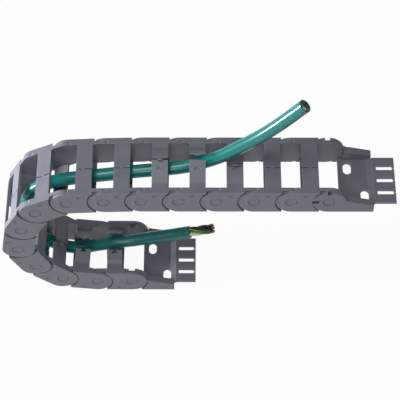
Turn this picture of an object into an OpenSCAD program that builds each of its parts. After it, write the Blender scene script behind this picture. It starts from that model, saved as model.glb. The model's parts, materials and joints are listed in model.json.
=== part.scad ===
// Cable drag chain with split flexible crossbars, its two end brackets and one cable.
// The lower run is fixed at the right, the bend is at the left, and the upper run ends in the moving bracket.

/* [Chain] */
// Distance from one pivot to the next
pitch = 25; // [23:0.5:32]
// Width over the side plates
width = 45; // [38:1:80]
// Height of the side plates
height = 22.3; // [19:0.1:28]
// Thickness of the outer cheek of a side plate
outer_cheek = 2.1; // [1.8:0.1:3]
// Thickness of the inner cheek of a side plate
inner_cheek = 2.35; // [1.8:0.05:3]
// Running gap between two cheeks
cheek_gap = 0.15; // [0.1:0.05:0.3]
// Largest angle that one joint bends
stop_angle = 38; // [30:1:45]

/* [Hinges] */
// Diameter of the hinge pins
pin_d = 8; // [5:0.5:9]
// Radial running clearance of a pin in its bore
pin_clearance = 0.05; // [0.02:0.01:0.1]
// How far a pin's face lies below the outer cheek
pin_recess = 0.3; // [0:0.1:0.6]
// Chamfer round the pins and bores
pin_chamfer = 0.4; // [0.2:0.1:0.6]
// Width of a stop lug, as an angle
lug_angle = 24; // [16:1:30]
// Angular play at each end of a stop pocket
stop_play = 0.6; // [0.3:0.1:1.5]
// Radial width of a stop lug
lug_band = 3.3; // [2:0.1:3.6]
// Height of a stop lug
lug_height = 0.9; // [0.5:0.1:1.1]

/* [Crossbars] */
// Width of a crossbar along the chain
bar_w = 10.8; // [6:0.1:12]
// Thickness of a crossbar
bar_t = 2; // [1.4:0.1:3]
// Gap between the two halves of a crossbar
slit = 0.8; // [0.5:0.1:1.5]
// How far the slit lies from the middle, towards the near side
slit_offset = 1.9; // [0:0.1:4]
// How far the tongue of a near half reaches under the far half
tongue = 4.4; // [2:0.1:6]

/* [Brackets] */
// Length of an arm from the pivot
arm_length = 30.2; // [28:0.2:40]
// Distance from the pivot to the tip of the comb
comb_reach = 45.75; // [44:0.25:60]
// Width of the comb
comb_w = 36.2; // [30:0.2:60]
// Thickness of the base plate
base_t = 2.4; // [1.8:0.1:4]
// Width of the fixing slots
slot_w = 5.7; // [4.5:0.1:7]
// Length of the fixing slots
slot_length = 9.6; // [7:0.1:12]
// Distance from the pivot to the first fixing slot
slot_x1 = 14; // [13:0.5:16]
// Distance from the pivot to the second fixing slot
slot_x2 = 25; // [24:0.5:26]
// Sideways distance of a fixing slot from the middle
slot_y = 11; // [8:0.5:12]

/* [Cable] */
// Outer diameter of the cable
cable_d = 9; // [6:0.5:9]
// Diameter of one core
core_d = 2.5; // [1:0.1:2.6]

/* [Rest pose] */
// Bend at each joint, from the fixed end
bends = [0, 9, 35, 22, 34, 18, 33, 25, 2, 2, 0, 0, 0, 0, 0];
// Lift of the near and far half of each outer crossbar: link, near, far
outer_lifts = [[10, 25, 30], [11, 34, 42], [12, 10, 15]];
// Lift of the near and far half of each inner crossbar: link, near, far
inner_lifts = [[1, 52, 66], [2, 48, 42], [3, 0, 6]];

/* [Hidden] */
$fn = 64;
LINKS = 14;
SIDES = ["left", "right"];
function link_name(k, side) = str("link_", k < 10 ? "0" : "", k, "_", side);

eps = 0.01;
half_w = width / 2;
half_h = height / 2;
inner_y = half_w - outer_cheek - cheek_gap - inner_cheek;   // inner face of the side plates
inner_top = inner_y + inner_cheek;                          // outer face of an inner cheek
outer_y = half_w - outer_cheek;                             // inner face of an outer cheek
tip_trim = 0.5;                                             // how much shorter a cheek tip is than half_h
cheek_tip = half_h - tip_trim;
seat_gap = 0.3;                                             // between a cheek tip and what it turns in
seat_r = half_h + 0.15;                                     // hollow in which an inner cheek's tip turns
shoulder_x = cheek_tip + 0.6;                               // outer cheek's shoulder, from the pin
shoulder_r = half_h * 1.35;
pin_r = pin_d / 2;
bore_r = pin_r + pin_clearance;
lug_r1 = pin_r + 1.6;
lug_r2 = lug_r1 + lug_band;
lug_play = 0.2;
lug_start = 90 - (stop_angle + lug_angle) / 2;              // the pocket is symmetric about the height
bar_x = (pitch - bar_w) / 2;
bar_z = half_h - bar_t;
near_len = inner_y - slit_offset - slit / 2;                // near half, without its tongue
far_len = inner_y + slit_offset - slit / 2;
lap = bar_t / 2;
lap_play = 0.1;
bar_anchor = 0.5;                                           // how far a bar runs into its side plate
bar_root = 2.5;                                             // flat part of a lifted half
bar_bend_r = 7;
stem = [2, 1];                                              // T-shaped tooth that ties the halves: width, length
head = [3.8, 1];
tooth_play = 0.15;

// Where each joint is at rest, with the fixed bracket's base on the floor and the origin between its slots.
start = [-(slot_x1 + slot_x2) / 2, half_h];
function turned(k) = k < 1 ? 180 : turned(k - 1) - bends[k - 1];
function joint_at(k) = k < 2 ? start : joint_at(k - 1) + pitch * [cos(turned(k - 1)), sin(turned(k - 1))];

// The cable's route from its stripped end to its free upper end.
route = [
    [22.5, 4.5, 36], [7.5, 4.2, 32], [-5.5, 4, 29], [-18.5, 3.6, 26], [-31.5, 3, 24], [-44.5, 2.8, 20.8],
    [-57, 2.6, 17.6], [-68, 2.4, 19.6], [-78, 2.2, 27], [-84.5, 2, 37], [-89.5, 1.8, 46], [-93, 1.6, 56],
    [-92.8, 1.4, 67.5], [-91, 1.2, 79.5], [-87.5, 1, 91], [-80.5, 0.8, 100.5], [-70, 0.8, 106.5],
    [-58, 0.8, 110.5], [-46, 0.8, 113], [-34, 0.9, 115], [-22, 1, 117.2], [-10, 1.1, 119.2], [3, 1.3, 120.8],
    [15, 1.5, 122.6], [25, 1.8, 125.4], [34, 2, 129.6], [41, 2, 133.6], [47, 2, 138.2], [54.6, 2, 144.8],
    [63, 2, 152.3], [71, 2, 160.2], [79, 2, 169.2], [86.5, 2, 178.6], [96, 2, 191]];
jacket_points = 28;                                         // the rest of the route is the free tail
core_length = 17;
core_lay = 40;                                              // cores turn once in this length
core_ring = core_d * 0.92;                                  // how far the cores lie from the cable's middle
core_rings = 7;

// A flat shape in the chain's height plane, given its thickness from y0 to y1.
module slab(y0, y1) {
    translate([0, y1, 0]) rotate([90, 0, 0]) linear_extrude(y1 - y0) children();
}

module both_sides() {
    children();
    mirror([0, 1, 0]) children();
}

module sector(r1, r2, a1, a2) {
    intersection() {
        difference() {
            circle(r2);
            circle(r1);
        }
        polygon([[0, 0], 2 * r2 * [cos(a1), sin(a1)], 2 * r2 * [cos((a1 + a2) / 2), sin((a1 + a2) / 2)],
                 2 * r2 * [cos(a2), sin(a2)]]);
    }
}

// ---- side plates ----

// Outline of a cheek tip whose pin is at the origin, and which carries on to x = reach.
module tip_outline(reach) {
    translate([tip_trim, 0]) circle(half_h);
    translate([tip_trim, -half_h]) square([reach - tip_trim, height]);
}

// What the neighbour's inner cheek sweeps about the pin, seen from the piece that carries the bore.
module swept_by_neighbour() {
    circle(seat_r);
    rotate(stop_angle) translate([-half_h, -half_h - seat_gap]) square([half_h, height]);
    translate([-pitch, -half_h - seat_gap]) square([pitch, height + 2 * seat_gap]);
}

// Takes away what lies inside the neighbour's outer cheek, whose pin is at x = pin_x.
module shoulder_cut(pin_x, side) {
    translate([pin_x - side * (shoulder_x - shoulder_r), 0]) circle(shoulder_r);
}

module stop_lugs() {
    for (turn = [0, 180])
        slab(inner_top - eps, inner_top + lug_height)
            sector(lug_r1, lug_r2, turn + lug_start, turn + lug_start + lug_angle);
}

module stop_pockets() {
    for (turn = [0, 180])
        slab(outer_y - 1, outer_y + lug_height)
            sector(lug_r1 - lug_play, lug_r2 + lug_play, turn + lug_start - stop_play,
                   turn + lug_start + lug_angle + stop_angle + stop_play);
}

module hinge_pin() {
    pin_end = half_w - pin_recess;
    rotate([-90, 0, 0]) {
        translate([0, 0, inner_top - eps]) cylinder(h = pin_end - pin_chamfer - inner_top + eps, r = pin_r);
        translate([0, 0, pin_end - pin_chamfer]) cylinder(h = pin_chamfer, r1 = pin_r, r2 = pin_r - pin_chamfer);
    }
}

module hinge_bore() {
    rotate([-90, 0, 0]) {
        translate([0, 0, outer_y - 1]) cylinder(h = outer_cheek + 2, r = bore_r);
        translate([0, 0, half_w - pin_chamfer])
            cylinder(h = pin_chamfer + eps, r1 = bore_r, r2 = bore_r + pin_chamfer);
    }
}

// The outer cheek's tip is thinned towards its end, so that a pin rides under it when a link is snapped on.
module lead_in() {
    lead_x = pin_r + 1;
    lead_depth = 0.5;
    translate([0, 0, -height])
        linear_extrude(2 * height)
            polygon([[-lead_x, half_w], [-2 * half_h, half_w - lead_depth * (2 * half_h - lead_x) / (cheek_tip - lead_x)],
                     [-2 * half_h, half_w + 1], [-lead_x, half_w + 1]]);
}

module dimple() {
    dimple_d = 3.5;
    translate([pitch / 2 - 3.1, half_w - 0.4, half_h * 0.68]) rotate([-90, 0, 0]) cylinder(h = 1, d = dimple_d);
}

// One side plate on the +y side: outer cheek with bore at x = 0, inner cheek with pin at x = pitch.
module side_plate() {
    difference() {
        union() {
            slab(outer_y, half_w) difference() {
                tip_outline(pitch);
                shoulder_cut(pitch, 1);
            }
            slab(inner_top - eps, outer_y + eps) difference() {
                translate([0, -half_h]) square([pitch, height]);
                shoulder_cut(pitch, 1);
                swept_by_neighbour();
            }
        }
        hinge_bore();
        stop_pockets();
        lead_in();
        dimple();
    }
    slab(inner_y, inner_top) difference() {
        union() {
            translate([0, -half_h]) square([pitch - tip_trim, height]);
            translate([pitch - tip_trim, 0]) circle(half_h);
        }
        swept_by_neighbour();
    }
    translate([pitch, 0, 0]) {
        hinge_pin();
        stop_lugs();
    }
}

// ---- crossbars ----

// A point of a half crossbar: s along its underside from the side plate, n up from it, lifted by an angle.
function bar_point(s, n, lift) =
    let (arc = bar_bend_r * lift * PI / 180, a = min(max((s - bar_root) / bar_bend_r * 180 / PI, 0), lift),
         rest = max(s - bar_root - arc, 0))
    s <= bar_root ? [s, n]
    : [bar_root + (bar_bend_r - n) * sin(a) + rest * cos(a),
       bar_bend_r - (bar_bend_r - n) * cos(a) + rest * sin(a)];

function stations(s0, s1, lift) =
    let (arc = bar_bend_r * lift * PI / 180, n = ceil(lift / 8))
    concat([s0], [for (i = [0:n]) let (s = bar_root + arc * i / max(n, 1)) if (s > s0 + 0.05 && s < s1 - 0.05) s],
           [s1]);

module strip(s0, s1, n0, n1, lift) {
    at = stations(s0, s1, lift);
    polygon(concat([for (s = at) bar_point(s, n0, lift)],
                   [for (i = [len(at) - 1:-1:0]) bar_point(at[i], n1, lift)]));
}

// A layer of a half crossbar on the outer side, from the +y side plate inwards, w wide.
module bar_layer(w, s0, s1, n0, n1, lift) {
    translate([(pitch - w) / 2, inner_y, bar_z])
        rotate([90, 0, 90])
            mirror([1, 0, 0])
                linear_extrude(w) strip(s0, s1, n0, n1, lift);
}

// The left half ends in a T-shaped tooth. Where it is lapped, the right half's tongue lies under it.
module left_bar(lift, lapped) {
    thin = lapped ? lap + lap_play / 2 : 0;
    rebate = lapped ? tongue + 2 * lap_play : 0;
    neck = far_len + slit + stem[1];
    bar_layer(bar_w, -bar_anchor, far_len - rebate, 0, bar_t, lift);
    if (lapped) bar_layer(bar_w, far_len - rebate - 1, far_len, thin, bar_t, lift);
    bar_layer(stem[0], far_len - 1, neck + head[1] / 2, thin, bar_t, lift);
    bar_layer(head[0], neck, neck + head[1], thin, bar_t, lift);
}

// The right half has the notch for the tooth, drawn here on the +y side and mirrored by the link.
module right_bar(lift, lapped) {
    floor = lapped ? lap - lap_play / 2 : -1;
    neck = near_len - stem[1];
    difference() {
        bar_layer(bar_w, -bar_anchor, near_len, 0, bar_t, lift);
        bar_layer(stem[0] + 2 * tooth_play, neck - head[1] / 2, near_len + 1, floor, bar_t + 1, lift);
        bar_layer(head[0] + 2 * tooth_play, neck - head[1] - tooth_play, neck + tooth_play, floor, bar_t + 1, lift);
    }
    if (lapped) bar_layer(bar_w, near_len - 1, near_len + tongue, 0, floor, lift);
}

// ---- a link, in two mouldings ----

function lift_of(k, table, column) = [for (row = table) if (row[0] == k) row[column], 0][0];

module left_half(k) {
    side_plate();
    left_bar(lift_of(k, outer_lifts, 2), true);
    mirror([0, 0, 1]) left_bar(lift_of(k, inner_lifts, 2), false);
}

module right_half(k) {
    mirror([0, 1, 0]) {
        side_plate();
        right_bar(lift_of(k, outer_lifts, 1), true);
        mirror([0, 0, 1]) right_bar(lift_of(k, inner_lifts, 1), false);
    }
}

module chain_link(k, side) {
    at = joint_at(k);
    color("#61636b")
        translate([at[0], 0, at[1]])
            rotate([0, -turned(k), 0]) {
                if (side == "left") left_half(k);
                if (side == "right") right_half(k);
            }
}

// ---- end brackets, with the pivot at the origin and the comb towards +x ----

arm_low = -half_h;
arm_end_z = -half_h / 3;
arm_start = [half_h + 4, 0.2];
arm_fillet = 5;
slot_ends = (slot_length - slot_w) / 2;
plate_x = half_h * 0.68;
comb_top = -half_h * 0.56;
comb_t = 2;
ramp_x = arm_length - 2;

module arm_outline() {
    difference() {
        union() {
            circle(half_h);
            polygon([[0, arm_low], [arm_length, arm_low], [arm_length, arm_end_z], arm_start,
                     arm_start + [0, arm_fillet], [0, half_h / 2]]);
        }
        translate(arm_start + [0, arm_fillet]) circle(arm_fillet);
    }
}

module head_notches(top_w, side_w) {
    notch = 3;
    translate([-top_w / 2, half_h - notch]) square([top_w, 2 * notch]);
    if (side_w > 0) translate([-2 * half_h, -side_w / 2]) square([half_h + 4.5, side_w]);
}

module slot_cut(x, y) {
    for (end = [-1, 1])
        translate([x, y + end * slot_ends, arm_low - 1]) cylinder(h = base_t + 2, d = slot_w);
    translate([x - slot_w / 2, y - slot_ends, arm_low - 1]) cube([slot_w, 2 * slot_ends, base_t + 2]);
}

module base_and_comb() {
    tine_pitch = comb_w / 3.69;
    tine_gap = tine_pitch * 0.36;
    tip_bar = 1.5;
    difference() {
        union() {
            slab(-inner_y - 0.3, inner_y + 0.3)
                polygon([[plate_x, arm_low], [arm_length, arm_low], [arm_length, arm_low + base_t],
                         [plate_x, arm_low + base_t]]);
            slab(-comb_w / 2, comb_w / 2)
                polygon([[ramp_x - 3, arm_low], [ramp_x, arm_low], [arm_length + 1.8, comb_top - comb_t],
                         [comb_reach, comb_top - comb_t], [comb_reach, comb_top], [arm_length + 1.2, comb_top],
                         [ramp_x - 1, arm_low + base_t], [ramp_x - 3, arm_low + base_t]]);
        }
        slot_cut(slot_x1, slot_y);
        slot_cut(slot_x2, -slot_y);
        for (i = [-1:1]) {
            translate([arm_length + 3.2, i * tine_pitch - tine_gap / 2, comb_top - 2 * comb_t])
                cube([comb_reach - arm_length - 3.2 - tip_bar, tine_gap, 4 * comb_t]);
            translate([arm_length + 3.2, i * tine_pitch - tine_gap / 5, comb_top - 2 * comb_t])
                cube([comb_reach, tine_gap * 0.4, 4 * comb_t]);
        }
    }
}

// The fixed bracket carries the pins, as the pin end of a link does.
module fixed_arm() {
    difference() {
        slab(inner_y, inner_top) arm_outline();
        slab(inner_y - 1, inner_top + 1) head_notches(4.4, 0);
    }
    slab(inner_top - eps, half_w) difference() {
        arm_outline();
        shoulder_cut(0, -1);
    }
    hinge_pin();
    stop_lugs();
}

// The moving bracket carries the bores, as the bore end of a link does.
module moving_arm() {
    difference() {
        union() {
            slab(outer_y, half_w) arm_outline();
            slab(inner_top - eps, outer_y + eps) difference() {
                arm_outline();
                swept_by_neighbour();
            }
        }
        hinge_bore();
        stop_pockets();
        slab(outer_y - 1, half_w + 1) head_notches(3.4, 3.2);
    }
    slab(inner_y, inner_top) difference() {
        arm_outline();
        swept_by_neighbour();
    }
}

module fixed_end_bracket() {
    color("#565860")
        translate([start[0], 0, start[1]]) {
            both_sides() fixed_arm();
            base_and_comb();
        }
}

module moving_end_bracket() {
    at = joint_at(LINKS + 1);
    color("#565860")
        translate([at[0], 0, at[1]]) {
            both_sides() moving_arm();
            base_and_comb();
        }
}

// ---- cable ----

function unit(v) = v / norm(v);
function directions(points) =
    let (last = len(points) - 1)
    [for (i = [0:last]) unit(points[min(i + 1, last)] - points[max(i - 1, 0)])];

// A round tube through points, as one closed solid, whose rings face along ways.
module tube(points, ways, d, sides) {
    n = len(points);
    rings = [for (i = [0:n - 1])
        let (u = unit(cross(ways[i], [0, 1, 0])), v = cross(ways[i], u))
        for (k = [0:sides - 1]) points[i] + d / 2 * (cos(360 * k / sides) * u + sin(360 * k / sides) * v)];
    faces = concat(
        [[for (k = [0:sides - 1]) k]],
        [for (i = [0:n - 2], k = [0:sides - 1], half = [0, 1])
            let (a = i * sides + k, b = i * sides + (k + 1) % sides)
            half == 0 ? [a, a + sides, b] : [b, a + sides, b + sides]],
        [[for (k = [sides - 1:-1:0]) (n - 1) * sides + k]]);
    polyhedron(rings, faces);
}

// The stretch of the cable between two points of its route.
module cable(first, last) {
    ways = directions(route);
    color("#23877f")
        tube([for (i = [first:last]) route[i]], [for (i = [first:last]) ways[i]], cable_d, 12);
}

// One core of the stripped end, in the lay of the cable. Its first face lies on the end of the jacket.
module core(i) {
    t = -directions(route)[0];
    u = unit(cross(t, [0, 1, 0]));
    v = cross(t, u);
    points = [for (j = [0:core_rings - 1])
        let (s = core_length * j / (core_rings - 1), a = 72 * i + 360 * s / core_lay)
        route[0] + t * s + core_ring * (cos(a) * u + sin(a) * v)];
    free_ways = directions(points);
    tube(points, [for (j = [0:core_rings - 1]) j == 0 ? t : free_ways[j]], core_d, 8);
}

fixed_end_bracket();
for (k = [1:LINKS], side = SIDES)
    chain_link(k, side);
moving_end_bracket();
cable(0, jacket_points);  // cable_jacket
cable(jacket_points, len(route) - 1);  // cable_tail
color("#26272a") core(0);  // core_black_upper
color("#26272a") core(2);  // core_black_lower
color("#b8cf2a") core(1);  // core_earth
color("#e4e4e6") core(3);  // core_white
color("#6d6f75") core(4);  // core_grey
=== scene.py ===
import json
import math

import bpy
from mathutils import Matrix, Vector


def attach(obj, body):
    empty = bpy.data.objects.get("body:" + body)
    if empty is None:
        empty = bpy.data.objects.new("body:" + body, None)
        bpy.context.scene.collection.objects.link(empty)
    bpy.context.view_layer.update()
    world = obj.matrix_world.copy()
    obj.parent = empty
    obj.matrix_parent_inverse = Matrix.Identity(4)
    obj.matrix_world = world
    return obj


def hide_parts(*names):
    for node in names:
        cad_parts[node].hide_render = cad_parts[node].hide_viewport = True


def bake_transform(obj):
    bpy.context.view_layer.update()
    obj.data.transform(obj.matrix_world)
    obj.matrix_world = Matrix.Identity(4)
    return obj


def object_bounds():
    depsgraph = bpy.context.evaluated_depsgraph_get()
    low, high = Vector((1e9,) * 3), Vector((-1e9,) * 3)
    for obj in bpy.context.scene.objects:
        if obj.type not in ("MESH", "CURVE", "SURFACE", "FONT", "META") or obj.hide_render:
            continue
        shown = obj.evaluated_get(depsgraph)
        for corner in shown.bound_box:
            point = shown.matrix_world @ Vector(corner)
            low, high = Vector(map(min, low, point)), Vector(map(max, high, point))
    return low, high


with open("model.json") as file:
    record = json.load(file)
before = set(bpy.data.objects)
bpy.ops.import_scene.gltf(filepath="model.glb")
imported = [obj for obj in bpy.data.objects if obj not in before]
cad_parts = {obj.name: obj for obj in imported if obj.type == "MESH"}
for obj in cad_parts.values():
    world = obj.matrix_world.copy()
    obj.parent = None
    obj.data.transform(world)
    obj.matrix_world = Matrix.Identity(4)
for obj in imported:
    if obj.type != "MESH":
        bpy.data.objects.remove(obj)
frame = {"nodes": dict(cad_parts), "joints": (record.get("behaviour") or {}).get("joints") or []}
cadLow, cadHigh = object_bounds()
mm = 0.001
scene = bpy.context.scene
joints = [Vector(joint["pos_m"]) for joint in frame["joints"]]  # joints[0] is the fixed end's own


# ---- small helpers ----

def linearColour(hexText, alpha=1.0):
    parts = [int(hexText[i:i + 2], 16) / 255 for i in (1, 3, 5)]
    return [c / 12.92 if c <= 0.04045 else ((c + 0.055) / 1.055) ** 2.4 for c in parts] + [alpha]


def addNode(tree, kind, settings=None, inputs=None):
    node = tree.nodes.new(kind)
    for name, value in (settings or {}).items():
        setattr(node, name, value)
    for name, value in (inputs or {}).items():
        if isinstance(value, bpy.types.NodeSocket):
            tree.links.new(value, node.inputs[name])
        else:
            node.inputs[name].default_value = value
    return node


def newMaterial(name):
    # An empty material, with its shader and the object's own coordinates.
    material = bpy.data.materials.new(name)
    material.use_nodes = True
    tree = material.node_tree
    shader = tree.nodes["Principled BSDF"]
    where = addNode(tree, "ShaderNodeTexCoord").outputs["Object"]
    return material, tree, shader, where


def meshFrom(name, vertices, faces, smooth=True):
    mesh = bpy.data.meshes.new(name)
    mesh.from_pydata(vertices, [], faces)
    mesh.polygons.foreach_set("use_smooth", [smooth] * len(mesh.polygons))
    mesh.update()
    piece = bpy.data.objects.new(name, mesh)
    scene.collection.objects.link(piece)
    return piece


# ---- materials ----

polyamide = {
    "colour": "#62646f",
    "bracketColour": "#5f616c",
    "paintedHighlightColour": "#8d909b",  # painted highlight: the colour that the moulded edges are painted towards
    "roughness": 0.48,
    "ior": 1.53,
    "grain": 0.35,  # glass fibre just under the skin, mm
    "glossDrift": 0.05,  # how far the roughness wanders over the surface
    "flow": 9.0,  # width of the faint clouds left by the melt, mm
    "grainTint": 0.16,
    "flowTint": 0.24,
    "edgeHighlightPaint": 0.9,  # how far the edges are painted towards the painted highlight colour
    "grainDepth": 0.02,  # mm
    "edge": 0.4,  # radius of the moulded edges, mm
}


def glassFilledPolyamide(name, colour):
    # Injection moulded, spark-eroded tool: satin skin with a fine grain, and a painted highlight
    # that makes the edges paler.
    material, tree, shader, where = newMaterial(name)
    edge = addNode(tree, "ShaderNodeBevel", {"samples": 6}, {"Radius": polyamide["edge"] * mm})
    flat = addNode(tree, "ShaderNodeNewGeometry")
    turn = addNode(tree, "ShaderNodeVectorMath", {"operation": "DOT_PRODUCT"},
                   {0: edge.outputs["Normal"], 1: flat.outputs["Normal"]})
    # painted highlight: where the rounded edge normal turns away from the flat one, the colour is
    # painted paler
    paintedHighlight = addNode(tree, "ShaderNodeMapRange", None,
                  {"Value": turn.outputs["Value"], "From Min": 1.0, "From Max": 0.8,
                   "To Min": 0.0, "To Max": polyamide["edgeHighlightPaint"]})
    grain = addNode(tree, "ShaderNodeTexNoise", {"noise_dimensions": "3D"},
                    {"Vector": where, "Scale": 1 / (polyamide["grain"] * mm), "Detail": 3.0,
                     "Roughness": 0.6})
    flow = addNode(tree, "ShaderNodeTexNoise", {"noise_dimensions": "3D"},
                   {"Vector": where, "Scale": 1 / (polyamide["flow"] * mm), "Detail": 2.0,
                    "Roughness": 0.5})
    speck = addNode(tree, "ShaderNodeMath", {"operation": "MULTIPLY_ADD"},
                    {0: grain.outputs["Fac"], 1: polyamide["grainTint"],
                     2: -polyamide["grainTint"] / 2})
    drift = addNode(tree, "ShaderNodeMath", {"operation": "MULTIPLY_ADD"},
                    {0: flow.outputs["Fac"], 1: polyamide["flowTint"], 2: speck.outputs["Value"]})
    pale = addNode(tree, "ShaderNodeMath", {"operation": "ADD", "use_clamp": True},
                   {0: drift.outputs["Value"], 1: paintedHighlight.outputs["Result"]})
    tint = addNode(tree, "ShaderNodeMix", {"data_type": "RGBA"},
                   {"Factor": pale.outputs["Value"], 6: linearColour(colour),
                    7: linearColour(polyamide["paintedHighlightColour"])})
    tree.links.new(tint.outputs[2], shader.inputs["Base Color"])
    gloss = addNode(tree, "ShaderNodeMapRange", None,
                    {"Value": flow.outputs["Fac"], "From Min": 0.3, "From Max": 0.7,
                     "To Min": polyamide["roughness"] - polyamide["glossDrift"],
                     "To Max": polyamide["roughness"] + polyamide["glossDrift"]})
    tree.links.new(gloss.outputs["Result"], shader.inputs["Roughness"])
    bump = addNode(tree, "ShaderNodeBump", None,
                   {"Strength": 0.12, "Distance": polyamide["grainDepth"] * mm,
                    "Height": grain.outputs["Fac"],
                    "Normal": edge.outputs["Normal"]})
    tree.links.new(bump.outputs["Normal"], shader.inputs["Normal"])
    shader.inputs["IOR"].default_value = polyamide["ior"]
    return material


polyurethane = {
    "colour": "#1c7573",
    "darkColour": "#12605d",
    "roughness": (0.2, 0.26),  # least and most
    "ior": 1.5,
    "streaks": 9.0,  # across the cable
    "streakLength": 1 / 60,  # along the cable, m
    "streakDepth": 0.02,  # mm
}


def extrudedPolyurethane(name):
    # Cable sheath, drawn through a die: smooth and waxy, with long faint streaks and a soft shine.
    material, tree, shader, where = newMaterial(name)
    around = addNode(tree, "ShaderNodeAttribute",
                     {"attribute_name": "sheathAround"}).outputs["Vector"]
    place = addNode(tree, "ShaderNodeMapping", None,
                    {"Vector": around, "Scale": (polyurethane["streaks"], polyurethane["streaks"],
                                                 1 / polyurethane["streakLength"])})
    streak = addNode(tree, "ShaderNodeTexNoise", {"noise_dimensions": "3D"},
                     {"Vector": place.outputs["Vector"], "Scale": 1.0, "Detail": 3.0})
    tint = addNode(tree, "ShaderNodeMix", {"data_type": "RGBA"},
                   {"Factor": streak.outputs["Fac"], 6: linearColour(polyurethane["darkColour"]),
                    7: linearColour(polyurethane["colour"])})
    tree.links.new(tint.outputs[2], shader.inputs["Base Color"])
    gloss = addNode(tree, "ShaderNodeMapRange", None,
                    {"Value": streak.outputs["Fac"], "From Min": 0.3, "From Max": 0.7,
                     "To Min": polyurethane["roughness"][0],
                     "To Max": polyurethane["roughness"][1]})
    tree.links.new(gloss.outputs["Result"], shader.inputs["Roughness"])
    bump = addNode(tree, "ShaderNodeBump", None,
                   {"Strength": 0.06, "Distance": polyurethane["streakDepth"] * mm,
                    "Height": streak.outputs["Fac"]})
    tree.links.new(bump.outputs["Normal"], shader.inputs["Normal"])
    shader.inputs["IOR"].default_value = polyurethane["ior"]
    return material


linkPlastic = glassFilledPolyamide("linkPolyamide", polyamide["colour"])
bracketPlastic = glassFilledPolyamide("bracketPolyamide", polyamide["bracketColour"])
sheath = extrudedPolyurethane("cableSheath")


vinyl = {
    "roughness": 0.3,
    "ior": 1.53,
    "cloud": 1.2,  # mm
    "cloudShare": 0.25,
    "deep": 0.6,  # the darkest part of a cloud
    "bands": 2.0,  # of the second colour round an earth core
}


def extrudedVinyl(name, colour, stripe=None):
    # Core insulation: thin, glossy and even; the earth core has a second colour in two broad bands.
    material, tree, shader, where = newMaterial(name)
    shader.inputs["Roughness"].default_value = vinyl["roughness"]
    shader.inputs["IOR"].default_value = vinyl["ior"]
    cloud = addNode(tree, "ShaderNodeTexNoise", None,
                    {"Vector": where, "Scale": 1 / (vinyl["cloud"] * mm), "Detail": 2.0})
    share = addNode(tree, "ShaderNodeMath", {"operation": "MULTIPLY"},
                    {0: cloud.outputs["Fac"], 1: vinyl["cloudShare"]})
    deep = [vinyl["deep"] * c for c in linearColour(colour)[:3]] + [1.0]
    tint = addNode(tree, "ShaderNodeMix", {"data_type": "RGBA"},
                   {"Factor": share.outputs["Value"], 6: linearColour(colour), 7: deep})
    shown = tint.outputs[2]
    if stripe:
        around = addNode(tree, "ShaderNodeAttribute",
                         {"attribute_name": "coreAround"}).outputs["Fac"]
        turns = addNode(tree, "ShaderNodeMath", {"operation": "MULTIPLY"},
                        {0: around, 1: vinyl["bands"]})
        part = addNode(tree, "ShaderNodeMath", {"operation": "FRACT"}, {0: turns.outputs["Value"]})
        band = addNode(tree, "ShaderNodeMath", {"operation": "GREATER_THAN"},
                       {0: part.outputs["Value"], 1: 0.5})
        banded = addNode(tree, "ShaderNodeMix", {"data_type": "RGBA"},
                         {"Factor": band.outputs["Value"], 6: shown, 7: linearColour(stripe)})
        shown = banded.outputs[2]
    tree.links.new(shown, shader.inputs["Base Color"])
    return material


wireMetal = {
    "colour": "#d98b62",
    "dullColour": "#b8683f",
    "roughness": 0.32,
    "cloud": 0.4,  # mm
}


def drawnCopper(name):
    # Fine-drawn bare copper wire, a little dulled by air.
    material, tree, shader, where = newMaterial(name)
    cloud = addNode(tree, "ShaderNodeTexNoise", None,
                    {"Vector": where, "Scale": 1 / (wireMetal["cloud"] * mm), "Detail": 2.0})
    tint = addNode(tree, "ShaderNodeMix", {"data_type": "RGBA"},
                   {"Factor": cloud.outputs["Fac"], 6: linearColour(wireMetal["colour"]),
                    7: linearColour(wireMetal["dullColour"])})
    tree.links.new(tint.outputs[2], shader.inputs["Base Color"])
    shader.inputs["Metallic"].default_value = 1.0
    shader.inputs["Roughness"].default_value = wireMetal["roughness"]
    return material


copper = drawnCopper("bareCopper")
filler = extrudedVinyl("sheathFilling", "#17514b")


# ---- camera ----

cameraSetup = {
    "target": (0.02954, 0.0, 0.08511),
    "distance": 1.0323,
    "elevation": 57.009,  # degrees above the horizon
    "yaw": -0.267,
    "roll": -0.152,
    "lens": 134.7,  # mm
}


def makeCamera(setup):
    camera = bpy.data.cameras.new("camera")
    camera.lens = setup["lens"]
    camera.sensor_width = 36.0
    body = bpy.data.objects.new("camera", camera)
    scene.collection.objects.link(body)
    up, yaw = math.radians(setup["elevation"]), math.radians(setup["yaw"])
    back = Vector((-math.sin(yaw) * math.cos(up), -math.cos(yaw) * math.cos(up), math.sin(up)))
    body.location = Vector(setup["target"]) + back * setup["distance"]
    turn = (-back).to_track_quat("-Z", "Y").to_matrix()
    body.rotation_euler = (turn @ Matrix.Rotation(math.radians(setup["roll"]), 3, "Z")).to_euler()
    camera.clip_start, camera.clip_end = 0.01, 10.0
    scene.camera = body


makeCamera(cameraSetup)
print("camera placed")


# ---- cable ----

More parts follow.
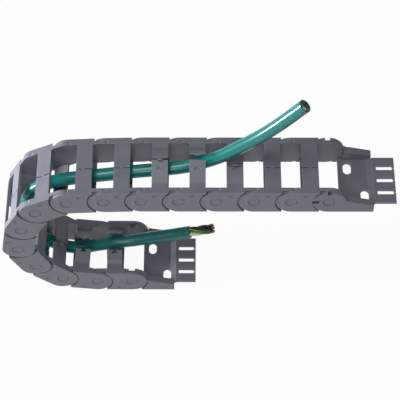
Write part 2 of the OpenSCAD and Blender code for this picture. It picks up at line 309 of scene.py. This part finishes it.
cable = {
    "diameter": 9 * mm,
    "wall": 1.1 * mm,
    "sides": 40,
    "step": 1.6 * mm,  # between rings
    "lastLink": 12,  # the link that the cable leaves the chain from
    "straightShare": 0.15,  # of a stretch, at each end
    "tailFrom": 28,  # the point of the route at which the free tail starts
    # The same points as in the model of the chain, from the stripped end to the free upper end.
    "route": [
        (0.0225, 0.0045, 0.036), (0.0075, 0.0042, 0.032), (-0.0055, 0.004, 0.029),
        (-0.0185, 0.0036, 0.026), (-0.0315, 0.003, 0.024), (-0.0445, 0.0028, 0.0208),
        (-0.057, 0.0026, 0.0176), (-0.068, 0.0024, 0.0196), (-0.078, 0.0022, 0.027),
        (-0.0845, 0.002, 0.037), (-0.0895, 0.0018, 0.046), (-0.093, 0.0016, 0.056),
        (-0.0928, 0.0014, 0.0675), (-0.091, 0.0012, 0.0795), (-0.0875, 0.001, 0.091),
        (-0.0805, 0.0008, 0.1005), (-0.07, 0.0008, 0.1065), (-0.058, 0.0008, 0.1105),
        (-0.046, 0.0008, 0.113), (-0.034, 0.0009, 0.115), (-0.022, 0.001, 0.1172),
        (-0.01, 0.0011, 0.1192), (0.003, 0.0013, 0.1208), (0.015, 0.0015, 0.1226),
        (0.025, 0.0018, 0.1254), (0.034, 0.002, 0.1296), (0.041, 0.002, 0.1336),
        (0.047, 0.002, 0.1382), (0.0546, 0.002, 0.1448), (0.063, 0.002, 0.1523),
        (0.071, 0.002, 0.1602), (0.079, 0.002, 0.1692), (0.0865, 0.002, 0.1786),
        (0.096, 0.002, 0.191),
    ],
}


def smoothRoute(points, step):
    # A curve through the points, and for each new point its place on the route (index + share).
    points = [Vector(p) for p in points]
    ends = [points[0] * 2 - points[1]] + points + [points[-1] * 2 - points[-2]]
    smooth, places = [], []
    for i in range(len(points) - 1):
        a, b, c, d = ends[i:i + 4]
        parts = max(1, round((c - b).length / step))
        for j in range(parts):
            t = j / parts
            smooth.append(0.5 * (2 * b + (c - a) * t + (2 * a - 5 * b + 4 * c - d) * t * t
                                 + (3 * b - a - 3 * c + d) * t ** 3))
            places.append(i + t)
    return smooth + [points[-1]], places + [len(points) - 1]


def wayAt(points, i):
    return (points[min(i + 1, len(points) - 1)] - points[max(i - 1, 0)]).normalized()


def sheathRings(points, radius, sides):
    rings = []
    for i, point in enumerate(points):
        way = wayAt(points, i)
        u = way.cross(Vector((0, 1, 0))).normalized()
        v = way.cross(u)
        rings.append([point + radius * (math.cos(a) * u + math.sin(a) * v)
                      for a in (2 * math.pi * k / sides for k in range(sides))])
    return rings


def tubeMesh(name, rings, lengths):
    # An open tube through the rings, with a map of its surface for the material.
    sides = len(rings[0])
    vertices = [point for ring in rings for point in ring]
    faces = [(i * sides + k, i * sides + (k + 1) % sides, (i + 1) * sides + (k + 1) % sides,
              (i + 1) * sides + k)
             for i in range(len(rings) - 1) for k in range(sides)]
    piece = meshFrom(name, vertices, faces)
    around = piece.data.attributes.new("sheathAround", "FLOAT_VECTOR", "POINT")
    around.data.foreach_set("vector", [
        value for length in lengths for k in range(sides)
        for value in (math.cos(2 * math.pi * k / sides), math.sin(2 * math.pi * k / sides), length)])
    return piece


def nearest(points, place):
    return min(range(len(points)), key=lambda i: (points[i] - place).length)


def makeSheath():
    # One stretch over each joint, cut at the middles of the links, and the free tail.
    points, places = smoothRoute(cable["route"], cable["step"])
    rings = sheathRings(points, cable["diameter"] / 2, cable["sides"])
    lengths = [0.0]
    for a, b in zip(points, points[1:]):
        lengths.append(lengths[-1] + (b - a).length)
    inBracket = joints[0] + (joints[0] - joints[1]) / 2
    middles = [inBracket]  # middles[k] is in link k
    middles += [(a + b) / 2 for a, b in zip(joints, joints[1:])]
    tailCut = next(i for i, place in enumerate(places) if place >= cable["tailFrom"])
    cuts = [0] + [nearest(points, p) for p in middles[:cable["lastLink"]]] + [tailCut]
    for i, (first, last) in enumerate(zip(cuts, cuts[1:])):
        piece = tubeMesh(f"cableSheath{i:02d}", rings[first:last + 1], lengths[first:last + 1])
        piece.data.materials.append(sheath)
        if i == 0:
            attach(piece, "fixed_end")
            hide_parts("cable_jacket")
        else:
            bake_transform(piece)
    tail = tubeMesh("cableTail", rings[tailCut:], lengths[tailCut:])
    tail.data.materials.append(sheath)
    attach(tail, "link_12")
    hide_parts("cable_tail")


def nodeGroup(name, sockets):
    # A node tree with named inputs: the tree, the inputs' identifiers, their sockets, the result.
    tree = bpy.data.node_groups.new(name, "GeometryNodeTree")
    ids = {}
    for label, kind in [("Geometry", "NodeSocketGeometry")] + sockets:
        ids[label] = tree.interface.new_socket(label, in_out="INPUT", socket_type=kind).identifier
    tree.interface.new_socket("Geometry", in_out="OUTPUT", socket_type="NodeSocketGeometry")
    return tree, ids, addNode(tree, "NodeGroupInput").outputs, addNode(tree, "NodeGroupOutput")


def runNodes(name, tree, ids, values):
    # Runs the tree with these inputs and returns its result as a plain mesh.
    holder = bpy.data.objects.new(name + "Source", bpy.data.meshes.new(name + "Source"))
    scene.collection.objects.link(holder)
    modifier = holder.modifiers.new(tree.name, "NODES")
    modifier.node_group = tree
    for label, value in values.items():
        modifier[ids[label]] = value
    seen = holder.evaluated_get(bpy.context.evaluated_depsgraph_get())
    mesh = bpy.data.meshes.new_from_object(seen)
    mesh.name = name
    bpy.data.objects.remove(holder)
    piece = bpy.data.objects.new(name, mesh)
    scene.collection.objects.link(piece)
    return piece


core = {
    "diameter": 2.5 * mm,
    "ring": 2.3 * mm,  # from the middle of the cable to the middle of a core
    "length": 17 * mm,
    "lay": 40 * mm,  # along the cable for one turn
    "strands": 19,
    "strand": 0.28 * mm,
    "bare": 0.9 * mm,  # how far the copper stands out of the insulation
    "rings": 40,
    "sides": 24,
    "wireSpacing": 0.56,  # of a wire's diameter, from turn to turn of the packing
    "uneven": 0.12 * mm,  # how far single wires stand out or back
    "sunk": 0.2 * mm,  # how far the cores start inside the sheath
    # Node, colour, second colour and slot, in their order round the cable.
    "kinds": [
        ("core_earth", "#1e7f35", "#d6df2b", "core_earth"),
        ("core_white", "#dedee2", None, "core_white"),
        ("core_grey", "#77797f", None, "core_grey"),
        ("core_black_lower", "#232427", None, "core_black"),
        ("core_black_upper", "#1d1e20", None, "core_black"),
    ],
}


def twistedCoreTree():
    # A straight line becomes one core: wound round the cable's middle, swept to a tube and closed.
    tree, ids, given, result = nodeGroup("twistedCore", [
        ("Length", "NodeSocketFloat"), ("Lay", "NodeSocketFloat"), ("Ring", "NodeSocketFloat"),
        ("Diameter", "NodeSocketFloat"), ("Phase", "NodeSocketFloat"),
        ("Material", "NodeSocketMaterial")])
    line = addNode(tree, "GeometryNodeCurvePrimitiveLine")
    fine = addNode(tree, "GeometryNodeResampleCurve", None,
                   {"Curve": line.outputs["Curve"], "Count": core["rings"]})
    share = addNode(tree, "GeometryNodeSplineParameter").outputs["Factor"]
    far = addNode(tree, "ShaderNodeMath", {"operation": "MULTIPLY"}, {0: share, 1: given["Length"]})
    turns = addNode(tree, "ShaderNodeMath", {"operation": "DIVIDE"},
                    {0: far.outputs[0], 1: given["Lay"]})
    angle = addNode(tree, "ShaderNodeMath", {"operation": "MULTIPLY_ADD"},
                    {0: turns.outputs[0], 1: 2 * math.pi, 2: given["Phase"]})
    across = []
    for kind in ("COSINE", "SINE"):
        wave = addNode(tree, "ShaderNodeMath", {"operation": kind}, {0: angle.outputs[0]})
        across.append(addNode(tree, "ShaderNodeMath", {"operation": "MULTIPLY"},
                              {0: wave.outputs[0], 1: given["Ring"]}).outputs[0])
    place = addNode(tree, "ShaderNodeCombineXYZ", None,
                    {"X": across[0], "Y": across[1], "Z": far.outputs[0]})
    wound = addNode(tree, "GeometryNodeSetPosition", None,
                    {"Geometry": fine.outputs["Curve"], "Position": place.outputs["Vector"]})
    radius = addNode(tree, "ShaderNodeMath", {"operation": "MULTIPLY"},
                     {0: given["Diameter"], 1: 0.5})
    profile = addNode(tree, "GeometryNodeCurvePrimitiveCircle", None,
                      {"Resolution": core["sides"], "Radius": radius.outputs[0]})
    kept = addNode(tree, "GeometryNodeStoreNamedAttribute",
                   {"data_type": "FLOAT", "domain": "POINT"},
                   {"Geometry": profile.outputs["Curve"], "Name": "coreAround",
                    "Value": addNode(tree, "GeometryNodeSplineParameter").outputs["Factor"]})
    swept = addNode(tree, "GeometryNodeCurveToMesh", None,
                    {"Curve": wound.outputs["Geometry"], "Profile Curve": kept.outputs["Geometry"],
                     "Fill Caps": True})
    real = addNode(tree, "GeometryNodeRealizeInstances", None, {"Geometry": swept.outputs["Mesh"]})
    painted = addNode(tree, "GeometryNodeSetMaterial", None,
                      {"Geometry": real.outputs["Geometry"], "Material": given["Material"]})
    tree.links.new(painted.outputs["Geometry"], result.inputs["Geometry"])
    return tree, ids


def wireStrandTree():
    # Fine wires packed round a middle, each a golden angle on from the last.
    tree, ids, given, result = nodeGroup("wireStrands", [
        ("Count", "NodeSocketInt"), ("Strand", "NodeSocketFloat"), ("Bare", "NodeSocketFloat"),
        ("Material", "NodeSocketMaterial")])
    index = addNode(tree, "GeometryNodeInputIndex").outputs["Index"]
    root = addNode(tree, "ShaderNodeMath", {"operation": "POWER"}, {0: index, 1: 0.5})
    away = addNode(tree, "ShaderNodeMath", {"operation": "MULTIPLY"},
                   {0: root.outputs[0], 1: given["Strand"]})
    away = addNode(tree, "ShaderNodeMath", {"operation": "MULTIPLY"},
                   {0: away.outputs[0], 1: core["wireSpacing"]})
    goldenAngle = math.pi * (3 - 5 ** 0.5)
    angle = addNode(tree, "ShaderNodeMath", {"operation": "MULTIPLY"}, {0: index, 1: goldenAngle})
    across = []
    for kind in ("COSINE", "SINE"):
        wave = addNode(tree, "ShaderNodeMath", {"operation": kind}, {0: angle.outputs[0]})
        across.append(addNode(tree, "ShaderNodeMath", {"operation": "MULTIPLY"},
                              {0: wave.outputs[0], 1: away.outputs[0]}).outputs[0])
    uneven = addNode(tree, "FunctionNodeRandomValue", {"data_type": "FLOAT"}, {"Seed": 4})
    uneven.inputs[2].default_value = -core["uneven"]
    uneven.inputs[3].default_value = core["uneven"]
    place = addNode(tree, "ShaderNodeCombineXYZ", None,
                    {"X": across[0], "Y": across[1], "Z": uneven.outputs[1]})
    dots = addNode(tree, "GeometryNodePoints", None,
                   {"Count": given["Count"], "Position": place.outputs["Vector"]})
    radius = addNode(tree, "ShaderNodeMath", {"operation": "MULTIPLY"},
                     {0: given["Strand"], 1: 0.5})
    wire = addNode(tree, "GeometryNodeMeshCylinder", None,
                   {"Vertices": 8, "Radius": radius.outputs[0], "Depth": given["Bare"]})
    many = addNode(tree, "GeometryNodeInstanceOnPoints", None,
                   {"Points": dots.outputs[0], "Instance": wire.outputs["Mesh"]})
    real = addNode(tree, "GeometryNodeRealizeInstances", None,
                   {"Geometry": many.outputs["Instances"]})
    painted = addNode(tree, "GeometryNodeSetMaterial", None,
                      {"Geometry": real.outputs["Geometry"], "Material": given["Material"]})
    tree.links.new(painted.outputs["Geometry"], result.inputs["Geometry"])
    return tree, ids


def endFrame(place, way):
    # Turns a piece made along Z so that it starts at place and runs along way.
    u = way.cross(Vector((0, 1, 0))).normalized()
    v = way.cross(u)
    turn = Matrix((u, v, way)).transposed().to_4x4()
    return Matrix.Translation(place) @ turn


def makeCores():
    route = [Vector(p) for p in cable["route"]]
    way = (route[0] - route[1]).normalized()
    stand = endFrame(route[0] - way * core["sunk"], way)
    coreTree, coreIds = twistedCoreTree()
    wireTree, wireIds = wireStrandTree()
    turn = 2 * math.pi / len(core["kinds"])
    slope = 2 * math.pi * core["ring"] / core["lay"]
    for i, (node, colour, stripe, slotName) in enumerate(core["kinds"]):
        name = node.replace("core_", "core").title().replace("_", "")
        phase = turn * i
        piece = runNodes(name, coreTree, coreIds, {
            "Length": core["length"], "Lay": core["lay"], "Ring": core["ring"],
            "Diameter": core["diameter"], "Phase": phase,
            "Material": extrudedVinyl(name + "Vinyl", colour, stripe)})
        piece.data.transform(stand)
        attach(piece, "fixed_end")
        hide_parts(node)
        last = phase + 2 * math.pi * core["length"] / core["lay"]
        wayOut = Vector((-math.sin(last) * slope, math.cos(last) * slope, 1)).normalized()
        tip = Vector((core["ring"] * math.cos(last), core["ring"] * math.sin(last), core["length"]))
        wires = runNodes(name + "Wires", wireTree, wireIds, {
            "Count": core["strands"], "Strand": core["strand"], "Bare": 2 * core["bare"],
            "Material": copper})
        wires.data.transform(stand @ endFrame(tip, wayOut))
        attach(wires, "fixed_end")


cut = {
    "hole": 0.02 * mm,  # left open in the middle of a disc
    "lowerDepth": 1 * mm,  # of the filling behind the stripped end
    "upperDepth": 0.3 * mm,
    "coreDepth": 0.1 * mm,
    "wireRadius": 2.4,  # of a core's bundle, in wires
}


def discRing(name, outer, inner, matrix, material, body):
    # A flat ring, or a disc where inner is nearly nothing.
    sides = cable["sides"]
    turns = [2 * math.pi * k / sides for k in range(sides)]
    vertices = [Vector((r * math.cos(a), r * math.sin(a), 0))
                for r in (outer, inner) for a in turns]
    faces = [(k, (k + 1) % sides, sides + (k + 1) % sides, sides + k) for k in range(sides)]
    piece = meshFrom(name, vertices, faces, False)
    piece.data.transform(matrix)
    piece.data.materials.append(material)
    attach(piece, body)
    return piece


def makeCutFaces():
    # The sheath's wall at both cut ends, and the cut cores and filling inside the free upper end.
    points = smoothRoute(cable["route"], cable["step"])[0]
    hole, bundle = cut["hole"], core["strand"] * cut["wireRadius"]
    outer, inner = cable["diameter"] / 2, cable["diameter"] / 2 - cable["wall"]
    lower = endFrame(points[0], (points[0] - points[1]).normalized())
    upper = endFrame(points[-1], (points[-1] - points[-2]).normalized())
    discRing("sheathWallLower", outer, inner, lower, sheath, "fixed_end")
    discRing("fillingLower", inner, hole, lower @ Matrix.Translation((0, 0, -cut["lowerDepth"])),
             filler, "fixed_end")
    discRing("sheathWallUpper", outer, inner, upper, sheath, "link_12")
    discRing("fillingUpper", inner, hole, upper @ Matrix.Translation((0, 0, -cut["upperDepth"])),
             filler, "link_12")
    for i, (node, colour, stripe, slotName) in enumerate(core["kinds"]):
        a = 2 * math.pi * i / len(core["kinds"])
        away = Vector((core["ring"] * math.cos(a), core["ring"] * math.sin(a), -cut["coreDepth"]))
        middle = upper @ Matrix.Translation(away)
        face = discRing(f"cutCore{i + 1}", core["diameter"] / 2, bundle, middle,
                        extrudedVinyl(f"cutCoreVinyl{i + 1}", colour), "link_12")
        discRing(f"cutWires{i + 1}", bundle, hole, middle, copper, "link_12")


makeSheath()
makeCores()
makeCutFaces()
print("cable made")

for name, node in frame["nodes"].items():
    node.data.materials.clear()
    node.data.materials.append(bracketPlastic if "bracket" in name else linkPlastic)
print("plastic parts finished")

# ---- stage and light ----

lamps = {
    "key": {"place": (-0.3, -0.15, 1.1), "size": (0.5, 0.5), "power": 4.8},
    "side": {"place": (-1.2, 0.0, 0.1), "size": (0.2, 0.4), "power": 36.0},
    "front": {"place": (-0.1, -0.85, 0.85), "size": (0.4, 0.3), "power": 3.1},
}

stage = {
    "reach": 3.0,
    "below": 0.5 * mm,  # under the chain
    "colour": "#f4f4f4",
    "roughness": 0.9,
    "white": 0.94,  # share of plain white that the camera sees; the rest keeps the shadow
    "sky": 0.22,
    "lampAim": (0.03, 0, 0.07),
}


def makeLamps():
    for name, setup in lamps.items():
        light = bpy.data.lights.new(name, "AREA")
        light.shape = "RECTANGLE"
        light.size, light.size_y = setup["size"]
        light.energy = setup["power"]
        body = bpy.data.objects.new(name, light)
        body.location = setup["place"]
        aim = Vector(stage["lampAim"]) - body.location
        body.rotation_euler = aim.to_track_quat("-Z", "Y").to_euler()
        scene.collection.objects.link(body)


def makeStage():
    r, z = stage["reach"], cadLow.z - stage["below"]
    floor = meshFrom("floor", [(-r, -r, z), (r, -r, z), (r, r, z), (-r, r, z)], [(0, 1, 2, 3)],
                     False)
    material, tree, shader, where = newMaterial("paperFloor")
    shader.inputs["Base Color"].default_value = linearColour(stage["colour"])
    shader.inputs["Roughness"].default_value = stage["roughness"]
    path = addNode(tree, "ShaderNodeLightPath")
    seen = addNode(tree, "ShaderNodeMath", {"operation": "MAXIMUM"},
                   {0: path.outputs["Is Camera Ray"], 1: path.outputs["Is Glossy Ray"]})
    share = addNode(tree, "ShaderNodeMath", {"operation": "MULTIPLY"},
                    {0: seen.outputs["Value"], 1: stage["white"]})
    glow = addNode(tree, "ShaderNodeEmission", None, {"Color": (1, 1, 1, 1), "Strength": 1.0})
    mix = addNode(tree, "ShaderNodeMixShader", None, {0: share.outputs["Value"]})
    tree.links.new(shader.outputs["BSDF"], mix.inputs[1])
    tree.links.new(glow.outputs["Emission"], mix.inputs[2])
    tree.links.new(mix.outputs["Shader"], tree.nodes["Material Output"].inputs["Surface"])
    floor.data.materials.append(material)


def makeWorld():
    world = bpy.data.worlds.new("studio")
    world.use_nodes = True
    sky = world.node_tree.nodes["Background"]
    sky.inputs["Color"].default_value = (1, 1, 1, 1)
    sky.inputs["Strength"].default_value = stage["sky"]
    scene.world = world


makeLamps()
makeStage()
makeWorld()
scene.view_settings.view_transform = "Standard"
